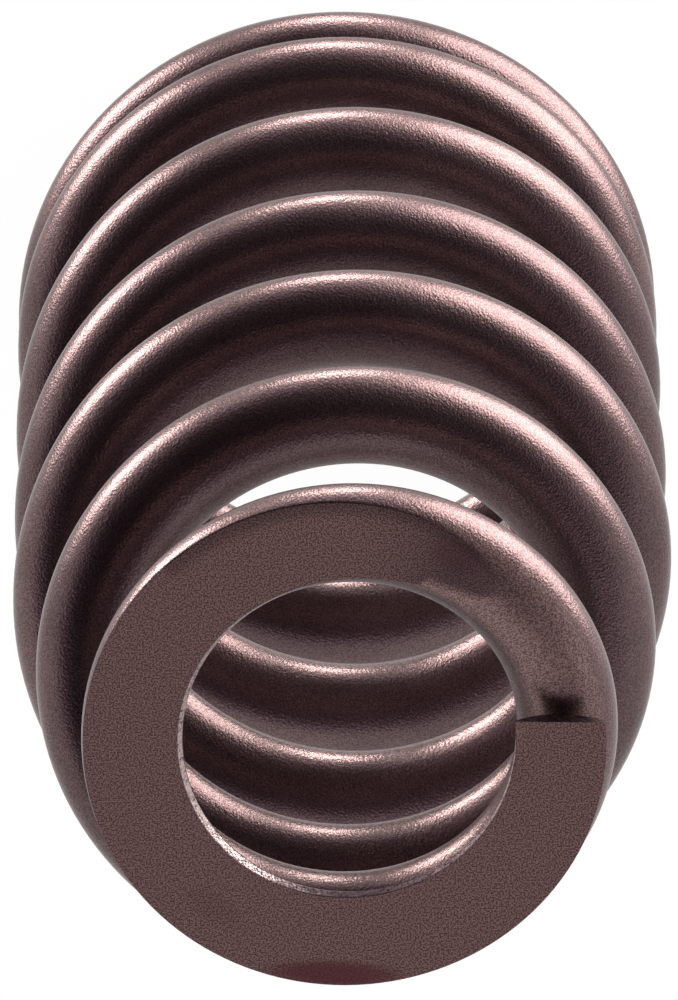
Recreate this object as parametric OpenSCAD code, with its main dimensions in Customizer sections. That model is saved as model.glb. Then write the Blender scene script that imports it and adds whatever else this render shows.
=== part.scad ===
// Engine valve spring with a narrow upper end: one piece of ovate wire, closed and ground at both ends.
// The spring stands on its wide end, on the plane z = 0, and the narrow end points up.
// The wire starts at the narrow end on the +X side and runs down right-handed.

/* [Wire] */
// Width of the wire across the spring, from the inside to the outside of a coil, mm
wire_w = 5.15; // [4:0.05:5.4]
// Height of the wire along the axis of the spring, mm
wire_h = 3.85; // [3:0.05:3.9]

/* [Coils] */
// Number of turns of wire, counted over the full length
turns = 6.87; // [6:0.01:7.2]
// Free length of the spring between the two ground faces, mm
free_length = 62; // [58:0.5:90]
// How much higher the middle coils sit than an even pitch would put them, mm
middle_lift = 1.1; // [0:0.05:1.5]
// Radius of the wire centre at the narrow end, mm
small_r = 10.9; // [10:0.05:12]
// Radius of the wire centre at the shoulder, where the cone pauses, mm
shoulder_r = 13.3; // [12.5:0.05:14]
// Radius of the wire centre in the straight body and at the wide end, mm
body_r = 14.5; // [14:0.05:17]

/* [Cone] */
// Turns from the narrow end where the first step out begins
step1_from = 0.83; // [0.7:0.01:0.9]
// Turns from the narrow end where the first step out is complete
step1_to = 1.58; // [1.4:0.01:1.7]
// Turns from the narrow end where the second step out begins
step2_from = 1.88; // [1.75:0.01:2.1]
// Turns from the narrow end where the straight body begins
step2_to = 2.49; // [2.4:0.01:3]

/* [Closed ends] */
// How far the wire centre stands outside the ground face at each wire tip, mm
tip_rise = 0.84; // [0.3:0.02:1.1]
// Rise of the closed end coil in one turn, mm
closed_pitch = 2.55; // [2.5:0.05:3.2]
// Turns from each tip over which the end coil stays closed
closed_turns = 0.69; // [0.6:0.01:0.7]
// Turns over which the closed pitch opens out to the body pitch
opening_turns = 0.28; // [0.2:0.01:0.3]
// Angle of the narrow end wire tip from the +X side, degrees
tip_angle = 4; // [0:1:90]
// How far the cut across each wire tip is turned from square, degrees
tip_skew = 6; // [0:1:12]
// Size of the 45 degree chamfer round the inside of each ground end, mm
bore_chamfer = 0.3; // [0.15:0.05:0.5]

/* [Smoothness] */
// Flat steps round one turn of the coil
steps_per_turn = 40; // [24:2:44]
// Flat sides round the wire
wire_sides = 20; // [12:2:22]

/* [Colour] */
// Colour of the coated wire
wire_colour = "#5b4743";

/* [Hidden] */
half_w = wire_w / 2;
half_h = wire_h / 2;
grind_size = 2 * (body_r + wire_w);
cutter_sides = 2 * steps_per_turn;
side_angle = 360 / wire_sides;
steps = ceil(turns * steps_per_turn);
open_turns = turns - 2 * closed_turns - opening_turns;
open_pitch = closed_pitch + (free_length + 2 * tip_rise - closed_pitch * turns) / open_turns;

// Smooth step from 0 to 1
function ease(x) = let (u = max(0, min(1, x))) u * u * (3 - 2 * u);

// Area under the smooth step, which turns a change of pitch into a height
function ease_sum(x) = x <= 0 ? 0 : x >= 1 ? x - 0.5 : pow(x, 3) - pow(x, 4) / 2;

// Radius of the wire centre, t turns from the narrow tip
function coil_r(t) = small_r
    + (shoulder_r - small_r) * ease((t - step1_from) / (step1_to - step1_from))
    + (body_r - shoulder_r) * ease((t - step2_from) / (step2_to - step2_from));

// Share of the way along the open coils at t turns, 0 to 1
function open_share(t) = max(0, min(1, (t - closed_turns) / (turns - 2 * closed_turns)));

// Depth of the wire centre below the upper ground face, t turns from the narrow tip
function coil_depth(t) = closed_pitch * t - tip_rise
    + (open_pitch - closed_pitch) * opening_turns
    * (ease_sum((t - closed_turns) / opening_turns)
    - ease_sum((t - turns + closed_turns + opening_turns) / opening_turns))
    - middle_lift * pow(sin(180 * open_share(t)), 2);

// Height of the wire centre above the wide end seat
function coil_z(t) = free_length - coil_depth(t);

// Pitch of the coil at t turns, used to keep the wire the same thickness on its slope
function coil_pitch(t) = closed_pitch
    + (open_pitch - closed_pitch) * (ease((t - closed_turns) / opening_turns)
    - ease((t - turns + closed_turns + opening_turns) / opening_turns))
    - middle_lift * PI / (turns - 2 * closed_turns) * sin(360 * open_share(t));

// Half the height of the wire in the upright plane through the axis
function upright_half(t) = half_h * sqrt(1 + pow(coil_pitch(t) / (2 * PI * coil_r(t)), 2));

// Full outline of the wire at t turns, as [radius, height] points round the wire
function section(t) = let (half = upright_half(t))
    [for (i = [0:wire_sides - 1]) let (a = -side_angle * (i + 0.5))
        [coil_r(t) + half_w * cos(a), coil_z(t) + half * sin(a)]];

// Turn of the section about its own centre, which is only there at the two cut tips
function skew(t) = t == 0 ? -tip_skew : t == turns ? tip_skew : 0;

// The section turned to its place round the axis
function station(t) = let (a = tip_angle - 360 * t, b = a + skew(t), r = coil_r(t))
    [for (p = section(t)) let (w = p[0] - r) [r * cos(a) + w * cos(b), r * sin(a) + w * sin(b), p[1]]];

// The wire as it is wound, before grinding, skinned over its stations
module wound_wire() {
    n = wire_sides;
    points = [for (k = [0:steps]) each station(turns * k / steps)];
    near_tip = [for (i = [0:n - 1]) i];
    far_tip = [for (i = [0:n - 1]) steps * n + n - 1 - i];
    sides = [for (k = [0:steps - 1], i = [0:n - 1])
        let (a = k * n + i, b = k * n + (i + 1) % n)
        each [[a, a + n, b + n], [a, b + n, b]]];
    polyhedron(points = points, faces = concat([near_tip, far_tip], sides), convexity = 10);
}

// A 45 degree chamfer cutter for the inside edge of a ground end, facing up at z = 0
module bore_cutter(inner_r) {
    over = bore_chamfer;
    translate([0, 0, -bore_chamfer])
        cylinder(h = bore_chamfer + over, r1 = inner_r, r2 = inner_r + bore_chamfer + over, $fn = cutter_sides);
}

// The spring: the wound wire with both ends ground square to the axis and chamfered inside
module coil() {
    color(wire_colour)
        difference() {
            intersection() {
                wound_wire();
                translate([-grind_size / 2, -grind_size / 2, 0])
                    cube([grind_size, grind_size, free_length]);
            }
            translate([0, 0, free_length]) bore_cutter(small_r - half_w);
            mirror([0, 0, 1]) bore_cutter(body_r - half_w);
        }
}

coil();
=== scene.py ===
"""Looks for the engine valve spring: a fine coil of coated, shot-peened wire on a lit white table."""

from math import cos, pi, radians, sin

import bmesh
import bpy
import numpy as np
from mathutils import Matrix, Vector


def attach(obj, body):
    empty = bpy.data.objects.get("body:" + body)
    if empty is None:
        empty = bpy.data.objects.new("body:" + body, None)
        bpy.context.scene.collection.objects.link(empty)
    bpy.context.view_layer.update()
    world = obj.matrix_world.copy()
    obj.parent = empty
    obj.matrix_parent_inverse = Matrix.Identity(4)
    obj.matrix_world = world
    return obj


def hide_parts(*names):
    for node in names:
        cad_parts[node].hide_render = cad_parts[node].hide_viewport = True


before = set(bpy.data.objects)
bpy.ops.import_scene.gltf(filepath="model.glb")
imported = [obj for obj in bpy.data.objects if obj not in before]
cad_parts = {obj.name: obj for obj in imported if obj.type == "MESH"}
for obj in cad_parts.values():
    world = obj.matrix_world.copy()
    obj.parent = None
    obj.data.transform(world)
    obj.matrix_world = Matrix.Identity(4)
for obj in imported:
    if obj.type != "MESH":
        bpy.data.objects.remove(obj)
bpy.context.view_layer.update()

MM = 0.001

# The spring, in mm and turns. TURNS, MIDDLE_LIFT and the BASE values differ from its construction, because
# the photo shows the wide end's last coil running on with no tip in view.
WIRE_W = 5.15
WIRE_H = 3.85
TURNS = 7.15
FREE_LENGTH = 62.0
MIDDLE_LIFT = 1.7
SMALL_R = 10.9
SHOULDER_R = 13.3
BODY_R = 14.5
STEP_1 = (0.83, 1.58)
STEP_2 = (1.88, 2.49)
TIP_RISE = 0.84
CLOSED_PITCH = 2.55
CLOSED_TURNS = 0.69
BASE_PITCH = 3.95
BASE_TURNS = 1.42
OPENING_TURNS = 0.28
TIP_ANGLE = 4.0
TIP_SKEW = 6.0
BORE_CHAMFER = 0.3
EDGE_BREAK = 0.03

# Turns over which the skew of the cut tips fades out
SKEW_TURNS = 0.03

# Fineness of the coil's mesh
STEPS_PER_TURN = 144
ROUND_STEPS = 40
FLAT_STEPS = 6
# Points closer than this are one point, in mm
SAME_POINT = 0.0001

# The picture, in pixels, and the camera that took it. Angles are in degrees, lengths in mm.
IMAGE_W = 678
IMAGE_H = 1000
TILT = 22.01
ROLL = -1.26
DISTANCE = 1000.0
PX_PER_MM = 19.7
# Where the centre of the narrow end lies in the picture
RING_X = 346.6
RING_Y = 740.8

# The tent's dark opening: its direction, where it starts and is full, and its tone
OPENING = (0.0, 0.375, 0.927)
OPENING_EDGE = (0.4, 0.68)
OPENING_TONE = (1.0, 0.45, 1.1)
LAMP_TONE = (1.0, 0.96, 0.91)
# Light of the tent, of its opening and of the table as the coils reflect it
TENT_LIGHT = 0.98
OPENING_LIGHT = 0.015
TABLE_LIGHT = 1.1
# Lamps: name, angle round the view, angle off the view, size in metres, power in watts
LAMPS = (("upper light", 90, 95, 0.16, 1.5),
         ("left light", 143, 95, 0.24, 2.9),
         ("right light", 38, 88, 0.5, 6.0))
# Distance of the lamps from the spring, in metres
LAMP_DISTANCE = 0.45


def srgb(r, g, b):
    """A colour written as it looks, 0 to 255, as linear light."""
    return tuple((c / 255 / 12.92) if c <= 10 else ((c / 255 + 0.055) / 1.055) ** 2.4 for c in (r, g, b))


# Colours of the wire as they look in even light, save the cut face's dark, which is partly painted shade, and
# the bore edge's bright, which is partly a painted glint
COAT_DARK = srgb(92, 75, 76)
COAT_LIGHT = srgb(106, 87, 87)
GROUND_DARK = srgb(109, 88, 84)
GROUND_LIGHT = srgb(183, 150, 142)
SCUFF = srgb(158, 138, 136)
WORN_EDGE_AND_GLINT = srgb(190, 172, 170)
RED_TINT = srgb(120, 62, 70)
# The cut face's dark is partly its own rough cut and partly painted shade
CUT_DARK_AND_SHADE = srgb(38, 27, 30)
CUT_LIGHT = srgb(110, 90, 86)
# Strength of the peening, and depth of the bumps on the wire and on its cut ends, in mm
PEEN_STRENGTH = 0.9
PEEN_DEPTH = 0.02
TORN_DEPTH = 0.05
# How near the ground plane a point on the flat lies, in mm
ON_PLANE = 0.02
# Turns from a tip over which the ground flat fades into the coat where it runs out
RUN_OUT = (0.76, 0.93)
# Turns from the narrow tip where the top of the wire is painted lighter with the ground colour, a painted
# light for how light falls on its upward faces, and where that ends
LIT_TOP_FROM = (0.72, 0.88)
LIT_TOP_TO = (0.96, 1.06)
# Share of the way round the wire from its inner line over which the scuff fades
SCUFF_WIDTH = (0.02, 0.09)
# How far down and out from the edge of the bore its chamfer is painted bright, as worn bare metal and as a
# painted glint, in mm
EDGE_BAND = 0.26
# Reddish patches on the flat: x, y, half length along the ring, half width, in mm, and strength
RED_SPOTS = ((-0.9, -12.8, 3.8, 0.8, 0.8), (5.75, 9.9, 1.6, 0.9, 0.4), (-6.9, -9.0, 1.8, 0.9, 0.2))
# Place of the inner line in v round the wire
INSIDE_V = (1.5 * ROUND_STEPS + FLAT_STEPS) / (2 * ROUND_STEPS + 2 * FLAT_STEPS)


def ease(x):
    u = np.clip(x, 0, 1)
    return u * u * (3 - 2 * u)


def ease_sum(x):
    u = np.clip(x, 0, 1)
    return np.where(x >= 1, x - 0.5, u ** 3 - u ** 4 / 2)


OPEN_TURNS = TURNS - CLOSED_TURNS - BASE_TURNS - OPENING_TURNS
OPEN_PITCH = (FREE_LENGTH + 2 * TIP_RISE - CLOSED_PITCH * (CLOSED_TURNS + OPENING_TURNS / 2)
              - BASE_PITCH * (BASE_TURNS + OPENING_TURNS / 2)) / OPEN_TURNS


def coil_r(t):
    return (SMALL_R + (SHOULDER_R - SMALL_R) * ease((t - STEP_1[0]) / (STEP_1[1] - STEP_1[0]))
            + (BODY_R - SHOULDER_R) * ease((t - STEP_2[0]) / (STEP_2[1] - STEP_2[0])))


def open_share(t):
    """Share of the way along the open coils at t turns, 0 to 1."""
    return np.clip((t - CLOSED_TURNS) / (TURNS - BASE_TURNS - CLOSED_TURNS), 0, 1)


def end_parts(t):
    """How far t is into the opening of the pitch at either end, in opening lengths."""
    return (t - CLOSED_TURNS) / OPENING_TURNS, (t - TURNS + BASE_TURNS + OPENING_TURNS) / OPENING_TURNS


def coil_z(t):
    near, far = end_parts(t)
    extra = OPENING_TURNS * ((OPEN_PITCH - CLOSED_PITCH) * ease_sum(near)
                             - (OPEN_PITCH - BASE_PITCH) * ease_sum(far))
    lift = MIDDLE_LIFT * np.sin(pi * open_share(t)) ** 2
    return FREE_LENGTH + TIP_RISE - CLOSED_PITCH * t - extra + lift


def coil_pitch(t):
    near, far = end_parts(t)
    slope = MIDDLE_LIFT * pi / (TURNS - BASE_TURNS - CLOSED_TURNS) * np.sin(2 * pi * open_share(t))
    return (CLOSED_PITCH + (OPEN_PITCH - CLOSED_PITCH) * ease(near) - (OPEN_PITCH - BASE_PITCH) * ease(far)
            - slope)


def wire_section(t):
    """The wire's outline at t turns as (radius, height) points, ground flat, chamfered and broken."""
    r, z = float(coil_r(t)), float(coil_z(t))
    half = WIRE_H / 2 * (1 + (float(coil_pitch(t)) / (2 * pi * r)) ** 2) ** 0.5
    outer_stop, inner_stop, flats = [], [], []
    for room, plane, up, bore in ((z, 0.0, -1, BODY_R - WIRE_W / 2),
                                  (FREE_LENGTH - z, FREE_LENGTH, 1, SMALL_R - WIRE_W / 2)):
        if room >= half:
            outer_stop.append(pi / 2)
            inner_stop.append(pi / 2)
            flats.append([(r, z + up * half)] * FLAT_STEPS)
            continue
        outer_stop.append(float(np.arcsin(np.clip((room - EDGE_BREAK) / half, -1, 1))))
        drop = chamfer_drop(r, half, room, bore)
        inner_stop.append(float(np.arcsin(np.clip((room - drop) / half, -1, 1))))
        reach = WIRE_W / 2 * max(1 - (room / half) ** 2, 0) ** 0.5
        inside = max(r - reach, min(bore + BORE_CHAMFER, r))
        outside = max(r + reach - EDGE_BREAK, inside)
        flats.append([(x, plane) for x in np.linspace(inside, outside, FLAT_STEPS)])
    outer = [(r + WIRE_W / 2 * cos(a), z + half * sin(a))
             for a in np.linspace(outer_stop[1], -outer_stop[0], ROUND_STEPS)]
    inner = [(r - WIRE_W / 2 * cos(a), z + half * sin(a))
             for a in np.linspace(-inner_stop[0], inner_stop[1], ROUND_STEPS)]
    return outer + flats[0][::-1] + inner + flats[1]


def chamfer_drop(r, half, room, bore):
    """How far below the ground face the bore's chamfer meets the wire's inner side."""
    best = EDGE_BREAK
    for step in range(1, 13):
        drop = BORE_CHAMFER * step / 12
        rise = (room - drop) / half
        if abs(rise) < 1 and r - WIRE_W / 2 * (1 - rise ** 2) ** 0.5 < bore + BORE_CHAMFER - drop:
            best = drop
    return best


def skew(t):
    """Turn of the section about its centre at t turns, in degrees, fading out behind each cut tip."""
    near, far = max(1 - t / SKEW_TURNS, 0), max(1 - (TURNS - t) / SKEW_TURNS, 0)
    return TIP_SKEW * (far - near)


def cap_faces(vertices, start, count, turned):
    """A fan of triangles that closes the section from vertex start on, round a new middle point."""
    middle = len(vertices)
    vertices.append(tuple(np.mean(vertices[start:start + count], axis=0)))
    sides = [(start + i, start + (i + 1) % count) for i in range(count)]
    return [(b, a, middle) if turned else (a, b, middle) for a, b in sides]


def merge_points(mesh):
    """Joins points that lie on one another, which is where a ground flat has run out."""
    work = bmesh.new()
    work.from_mesh(mesh)
    bmesh.ops.remove_doubles(work, verts=work.verts, dist=SAME_POINT * MM)
    work.to_mesh(mesh)
    work.free()


def build_coil(material, cut_material):
    """The whole wire as one fine mesh, with u along the wire and v round it."""
    stations = np.linspace(0, TURNS, int(TURNS * STEPS_PER_TURN) + 1)
    rings = []
    for t in stations:
        a = radians(TIP_ANGLE - 360 * t)
        b = a + radians(skew(t))
        r = float(coil_r(t))
        rings.append([((r * cos(a) + (p[0] - r) * cos(b)) * MM, (r * sin(a) + (p[0] - r) * sin(b)) * MM,
                       p[1] * MM) for p in wire_section(t)])
    count = len(rings[0])
    vertices = [v for ring in rings for v in ring]
    faces = []
    for k in range(len(rings) - 1):
        for i in range(count):
            j = (i + 1) % count
            faces.append((k * count + i, (k + 1) * count + i, (k + 1) * count + j, k * count + j))
    faces += cap_faces(vertices, 0, count, False)
    faces += cap_faces(vertices, (len(rings) - 1) * count, count, True)
    mesh = bpy.data.meshes.new("spring_wire")
    mesh.from_pydata(vertices, [], faces)
    mesh.materials.append(material)
    mesh.materials.append(cut_material)
    around = mesh.uv_layers.new(name="around")
    sides = (len(rings) - 1) * count
    for poly in mesh.polygons:
        if poly.index >= sides:
            poly.material_index = 1
            continue
        k, i = divmod(poly.index, count)
        for loop, (kk, ii) in zip(poly.loop_indices, ((k, i), (k + 1, i), (k + 1, i + 1), (k, i + 1))):
            around.data[loop].uv = (stations[kk] / TURNS, ii / count)
    merge_points(mesh)
    mesh.shade_smooth()
    mesh.set_sharp_from_angle(angle=radians(32))
    coil = bpy.data.objects.new("spring_wire", mesh)
    bpy.context.scene.collection.objects.link(coil)
    return coil


class Nodes:
    """Short ways to add and link shader nodes."""

    def __init__(self, name):
        self.material = bpy.data.materials.new(name)
        self.material.use_nodes = True
        self.tree = self.material.node_tree
        self.tree.nodes.clear()

    def add(self, kind, **settings):
        node = self.tree.nodes.new(kind)
        for key, value in settings.items():
            setattr(node, key, value)
        return node

    def link(self, source, target):
        self.tree.links.new(source, target)

    def math(self, operation, a, b=None, clamp=False):
        node = self.add("ShaderNodeMath", operation=operation, use_clamp=clamp)
        for socket, value in zip(node.inputs, (a, b)):
            if value is None:
                continue
            if isinstance(value, (int, float)):
                socket.default_value = value
            else:
                self.link(value, socket)
        return node.outputs[0]

    def mix(self, factor, a, b):
        node = self.add("ShaderNodeMix", data_type="RGBA")
        for socket, value in ((node.inputs[0], factor), (node.inputs[6], a), (node.inputs[7], b)):
            if isinstance(value, tuple):
                socket.default_value = (*value, 1)
            elif isinstance(value, (int, float)):
                socket.default_value = value
            else:
                self.link(value, socket)
        return node.outputs[2]

    def noise(self, vector, scale, detail=2.0, roughness=0.5):
        node = self.add("ShaderNodeTexNoise")
        node.inputs["Scale"].default_value = scale
        node.inputs["Detail"].default_value = detail
        node.inputs["Roughness"].default_value = roughness
        self.link(vector, node.inputs["Vector"])
        return node.outputs["Fac"]

    def cells(self, vector, scale):
        """Round cells, for peening dimples."""
        node = self.add("ShaderNodeTexVoronoi", feature="F1")
        node.inputs["Scale"].default_value = scale
        self.link(vector, node.inputs["Vector"])
        return node.outputs["Distance"]

    def blend(self, factor, a, b):
        """A plain number between a and b."""
        node = self.add("ShaderNodeMix", data_type="FLOAT")
        for socket, value in ((node.inputs[0], factor), (node.inputs[2], a), (node.inputs[3], b)):
            if isinstance(value, (int, float)):
                socket.default_value = value
            else:
                self.link(value, socket)
        return node.outputs[0]

    def shade(self, colour, amount):
        """A colour made darker or lighter by a plain factor."""
        node = self.add("ShaderNodeVectorMath", operation="SCALE")
        self.link(colour, node.inputs[0])
        node.inputs["Scale"].default_value = amount
        return node.outputs[0]

    def spot(self, place, x, y, long, wide):
        """A soft patch round a point of the ring, drawn out along the ring."""
        away = self.add("ShaderNodeVectorMath", operation="SUBTRACT")
        self.link(place, away.inputs[0])
        away.inputs[1].default_value = (x * MM, y * MM, 0)
        size = (x * x + y * y) ** 0.5
        parts = []
        for dx, dy, reach in ((-y / size, x / size, long), (x / size, y / size, wide)):
            dot = self.add("ShaderNodeVectorMath", operation="DOT_PRODUCT")
            self.link(away.outputs[0], dot.inputs[0])
            dot.inputs[1].default_value = (dx / (reach * MM), dy / (reach * MM), 0)
            parts.append(self.math("POWER", self.math("ABSOLUTE", dot.outputs["Value"]), 2.0))
        return self.math("SUBTRACT", 1, self.ramp(self.math("ADD", *parts), 0.1, 1.3))

    def ramp(self, value, low, high):
        """A smooth rise from 0 at low to 1 at high."""
        node = self.add("ShaderNodeMapRange", interpolation_type="SMOOTHSTEP")
        node.inputs["From Min"].default_value = low
        node.inputs["From Max"].default_value = high
        self.link(value, node.inputs["Value"])
        return node.outputs["Result"]


def wire_material():
    """Satin brown coat on peened wire, duller on the ground ends and scuffed inside the coils, with painted
    light on its upward faces near the narrow tip and a painted glint along the bore's chamfer.
    """
    n = Nodes("coated wire")
    place = n.add("ShaderNodeTexCoord").outputs["Object"]
    spot = n.add("ShaderNodeSeparateXYZ")
    n.link(place, spot.inputs[0])
    normal = n.add("ShaderNodeSeparateXYZ")
    n.link(n.add("ShaderNodeNewGeometry").outputs["True Normal"], normal.inputs[0])
    height = spot.outputs["Z"]
    at_top = n.math("GREATER_THAN", height, (FREE_LENGTH - ON_PLANE) * MM)
    at_low = n.math("LESS_THAN", height, ON_PLANE * MM)
    flat = n.math("MULTIPLY", n.math("MAXIMUM", at_top, at_low),
                  n.math("GREATER_THAN", n.math("ABSOLUTE", normal.outputs["Z"]), 0.98))
    across = n.add("ShaderNodeSeparateXYZ")
    n.link(n.add("ShaderNodeUVMap", uv_map="around").outputs["UV"], across.inputs[0])
    along = n.math("MULTIPLY", across.outputs["X"], TURNS)
    run = n.math("MINIMUM", along, n.math("SUBTRACT", TURNS, along))
    flat = n.math("MULTIPLY", flat, n.math("SUBTRACT", 1, n.ramp(run, *RUN_OUT)))
    # Painted light: the upward faces of the wire near the narrow tip join the flat mask at up to half
    # strength, taking the ground colour and finish, standing in for the light that falls on them.
    painted_lit_top = n.math("MULTIPLY", n.ramp(along, *LIT_TOP_FROM), n.math("SUBTRACT", 1, n.ramp(along, *LIT_TOP_TO)))
    painted_lit_top = n.math("MULTIPLY", painted_lit_top, n.ramp(normal.outputs["Z"], 0.7, 0.95))
    flat = n.math("MAXIMUM", flat, n.math("MULTIPLY", painted_lit_top, 0.5))
    inside = n.math("ABSOLUTE", n.math("SUBTRACT", across.outputs["Y"], INSIDE_V))
    pebble = n.cells(place, 7500)
    ripple = n.noise(place, 6500, 2.0, 0.6)
    grain = n.noise(place, 12000, 1.0, 0.5)
    patch = n.noise(place, 90, 3.0, 0.6)
    coat = n.mix(n.ramp(patch, 0.35, 0.7), COAT_DARK, COAT_LIGHT)
    coat = n.mix(n.ramp(grain, 0.38, 0.62), n.shade(coat, 0.72), n.shade(coat, 1.3))
    scuffed = n.math("SUBTRACT", 1, n.ramp(inside, *SCUFF_WIDTH))
    scuffed = n.math("MULTIPLY", scuffed, n.ramp(ripple, 0.35, 0.6))
    coat = n.mix(n.math("MULTIPLY", scuffed, 0.3), coat, SCUFF)
    ground = n.mix(n.ramp(grain, 0.42, 0.58), GROUND_DARK, GROUND_LIGHT)
    for x, y, long, wide, strength in RED_SPOTS:
        ground = n.mix(n.math("MULTIPLY", n.spot(place, x, y, long, wide), strength), ground, RED_TINT)
    colour = n.mix(flat, coat, ground)
    radius = n.math("SQRT", n.math("ADD", n.math("POWER", spot.outputs["X"], 2.0),
                                   n.math("POWER", spot.outputs["Y"], 2.0)))
    # The bore's chamfer near each ground end, painted bright in dashes: worn bare metal and a painted glint
    # along the edge.
    edges = []
    for end, bore in ((FREE_LENGTH, SMALL_R - WIRE_W / 2), (0.0, BODY_R - WIRE_W / 2)):
        near = n.math("LESS_THAN", n.math("ABSOLUTE", n.math("SUBTRACT", height, end * MM)), EDGE_BAND * MM)
        edges.append(n.math("MULTIPLY", near, n.math("LESS_THAN", radius, (bore + EDGE_BAND) * MM)))
    worn_and_glint = n.math("MULTIPLY", n.math("MAXIMUM", *edges), n.ramp(ripple, 0.3, 0.55))
    colour = n.mix(worn_and_glint, colour, WORN_EDGE_AND_GLINT)
    bump = n.add("ShaderNodeBump")
    bump.inputs["Distance"].default_value = PEEN_DEPTH * MM
    uneven = n.math("ADD", n.math("MULTIPLY", pebble, 0.6), n.math("MULTIPLY", ripple, 0.7))
    n.link(n.blend(flat, uneven, grain), bump.inputs["Height"])
    n.link(n.blend(flat, PEEN_STRENGTH, 0.2), bump.inputs["Strength"])
    shader = n.add("ShaderNodeBsdfPrincipled")
    n.link(colour, shader.inputs["Base Color"])
    n.link(bump.outputs["Normal"], shader.inputs["Normal"])
    n.link(n.blend(flat, 0.32, 0.5), shader.inputs["Roughness"])
    n.link(n.blend(flat, 0.96, 0.9), shader.inputs["Metallic"])
    out = n.add("ShaderNodeOutputMaterial")
    n.link(shader.outputs[0], out.inputs["Surface"])
    return n.material


def cut_material():
    """The rough face where the wire was cut off, dark partly as its own rough cut and partly as painted
    shade.
    """
    n = Nodes("cut wire end")
    place = n.add("ShaderNodeTexCoord").outputs["Object"]
    torn = n.noise(place, 6000, 2.0, 0.7)
    bump = n.add("ShaderNodeBump")
    bump.inputs["Distance"].default_value = TORN_DEPTH * MM
    n.link(torn, bump.inputs["Height"])
    shader = n.add("ShaderNodeBsdfPrincipled")
    n.link(n.mix(n.ramp(torn, 0.45, 0.75), CUT_DARK_AND_SHADE, CUT_LIGHT), shader.inputs["Base Color"])
    n.link(bump.outputs["Normal"], shader.inputs["Normal"])
    shader.inputs["Roughness"].default_value = 0.35
    shader.inputs["Metallic"].default_value = 0.9
    out = n.add("ShaderNodeOutputMaterial")
    n.link(shader.outputs[0], out.inputs["Surface"])
    return n.material


def table_material():
    """A lit white table that shows plain white to the camera, with the object's faint shadow on it."""
    n = Nodes("lit white table")
    diffuse = n.add("ShaderNodeBsdfDiffuse")
    diffuse.inputs["Color"].default_value = (0.8, 0.8, 0.8, 1)
    glow = n.add("ShaderNodeEmission")
    glow.inputs["Strength"].default_value = 1.08
    seen = n.add("ShaderNodeLightPath").outputs["Is Camera Ray"]
    mix = n.add("ShaderNodeMixShader")
    n.link(n.math("MULTIPLY", seen, 0.9), mix.inputs[0])
    n.link(diffuse.outputs[0], mix.inputs[1])
    n.link(glow.outputs[0], mix.inputs[2])
    out = n.add("ShaderNodeOutputMaterial")
    n.link(mix.outputs[0], out.inputs["Surface"])
    return n.material


def add_table():
    """The table lets lamps and reflections through, so light from below its level still reaches the coils."""
    mesh = bpy.data.meshes.new("table")
    half = 3.0
    corners = [(-half, -half, 0), (half, -half, 0), (half, half, 0), (-half, half, 0)]
    mesh.from_pydata(corners, [], [(0, 1, 2, 3)])
    mesh.materials.append(table_material())
    table = bpy.data.objects.new("table", mesh)
    bpy.context.scene.collection.objects.link(table)
    table.visible_shadow = False
    table.visible_glossy = False


def add_world(room, dark_spot, table):
    """A bright tent with a dark opening round the camera's side. Looking down it shows the white table."""
    world = bpy.data.worlds.new("studio")
    world.use_nodes = True
    nodes, links = world.node_tree.nodes, world.node_tree.links
    tent = nodes["Background"]
    white = nodes.new("ShaderNodeBackground")
    white.inputs["Color"].default_value = (1, 1, 1, 1)
    way = nodes.new("ShaderNodeTexCoord").outputs["Generated"]

    def fade(value, start, end, low, high):
        node = nodes.new("ShaderNodeMapRange")
        node.interpolation_type = "SMOOTHSTEP"
        for name, number in (("From Min", start), ("From Max", end), ("To Min", low), ("To Max", high)):
            node.inputs[name].default_value = number
        links.new(value, node.inputs["Value"])
        return node.outputs["Result"]

    opening = nodes.new("ShaderNodeVectorMath")
    opening.operation = "DOT_PRODUCT"
    opening.inputs[1].default_value = OPENING
    links.new(way, opening.inputs[0])
    height = nodes.new("ShaderNodeSeparateXYZ")
    links.new(way, height.inputs[0])
    upper = fade(opening.outputs["Value"], OPENING_EDGE[0], OPENING_EDGE[1], room, dark_spot)
    lower = fade(height.outputs["Z"], 0.05, -0.1, 0, table - room)
    tone = nodes.new("ShaderNodeMix")
    tone.data_type = "RGBA"
    links.new(fade(opening.outputs["Value"], OPENING_EDGE[0], OPENING_EDGE[1], 0, 1), tone.inputs[0])
    tone.inputs[6].default_value = (1, 1, 1, 1)
    tone.inputs[7].default_value = (*OPENING_TONE, 1)
    links.new(tone.outputs[2], tent.inputs["Color"])
    total = nodes.new("ShaderNodeMath")
    total.operation = "ADD"
    links.new(upper, total.inputs[0])
    links.new(lower, total.inputs[1])
    links.new(total.outputs[0], tent.inputs["Strength"])
    path = nodes.new("ShaderNodeLightPath")
    mix = nodes.new("ShaderNodeMixShader")
    links.new(path.outputs["Is Camera Ray"], mix.inputs[0])
    links.new(tent.outputs[0], mix.inputs[1])
    links.new(white.outputs[0], mix.inputs[2])
    links.new(mix.outputs[0], nodes["World Output"].inputs["Surface"])
    bpy.context.scene.world = world


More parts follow.
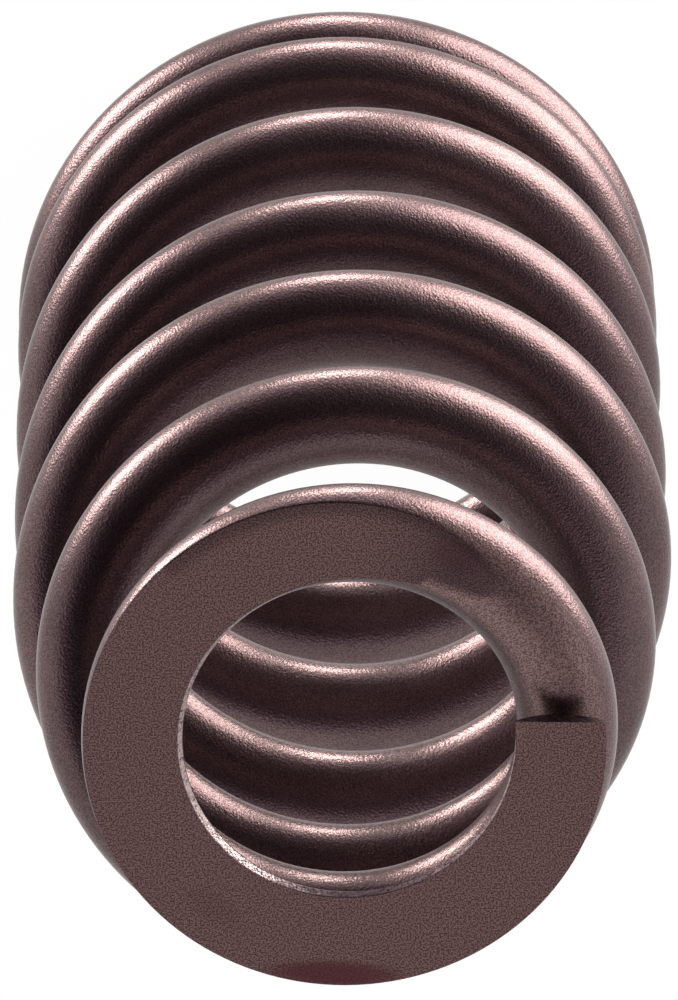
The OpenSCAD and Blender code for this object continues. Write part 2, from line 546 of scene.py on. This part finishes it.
def camera_axes():
    """Right, up and backward directions of the camera when it looks straight at the narrow end's centre."""
    tilt, roll = radians(TILT), radians(ROLL)
    back = Vector((0, sin(tilt), cos(tilt)))
    up = Vector((0, cos(tilt), -sin(tilt)))
    right = Vector((1, 0, 0))
    return (cos(roll) * right + sin(roll) * up, cos(roll) * up - sin(roll) * right, back)


def add_camera():
    right, up, back = camera_axes()
    focal = PX_PER_MM * DISTANCE
    aim = Vector(((RING_X - IMAGE_W / 2) / focal, -(RING_Y - IMAGE_H / 2) / focal, -1)).normalized()
    turn = Vector((0, 0, -1)).rotation_difference(aim).to_matrix()
    axes = Matrix((right, up, back)).transposed() @ turn.transposed()
    data = bpy.data.cameras.new("camera")
    data.sensor_fit = "VERTICAL"
    data.sensor_height = 24
    data.lens = data.sensor_height * focal / IMAGE_H
    data.clip_end = 20
    camera = bpy.data.objects.new("camera", data)
    place = (Vector((0, 0, FREE_LENGTH)) + back * DISTANCE) * MM
    camera.matrix_world = Matrix.Translation(place) @ axes.to_4x4()
    bpy.context.scene.collection.objects.link(camera)
    bpy.context.scene.camera = camera


def add_light(name, picture_angle, off_view, size, power):
    """A soft lamp that lies at picture_angle round the view and off_view degrees away from it."""
    right, up, back = camera_axes()
    side = cos(radians(picture_angle)) * right + sin(radians(picture_angle)) * up
    direction = cos(radians(off_view)) * back + sin(radians(off_view)) * side
    data = bpy.data.lights.new(name, "AREA")
    data.shape = "DISK"
    data.size = size
    data.energy = power
    data.color = LAMP_TONE
    lamp = bpy.data.objects.new(name, data)
    lamp.location = Vector((0, 0, FREE_LENGTH / 2 * MM)) + direction * LAMP_DISTANCE
    lamp.rotation_euler = direction.to_track_quat("Z", "Y").to_euler()
    bpy.context.scene.collection.objects.link(lamp)


def main():
    coil = build_coil(wire_material(), cut_material())
    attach(coil, "root")
    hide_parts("coil")
    add_table()
    add_world(TENT_LIGHT, OPENING_LIGHT, TABLE_LIGHT)
    add_camera()
    for lamp in LAMPS:
        add_light(*lamp)
    scene = bpy.context.scene
    scene.view_settings.view_transform = "Standard"


main()
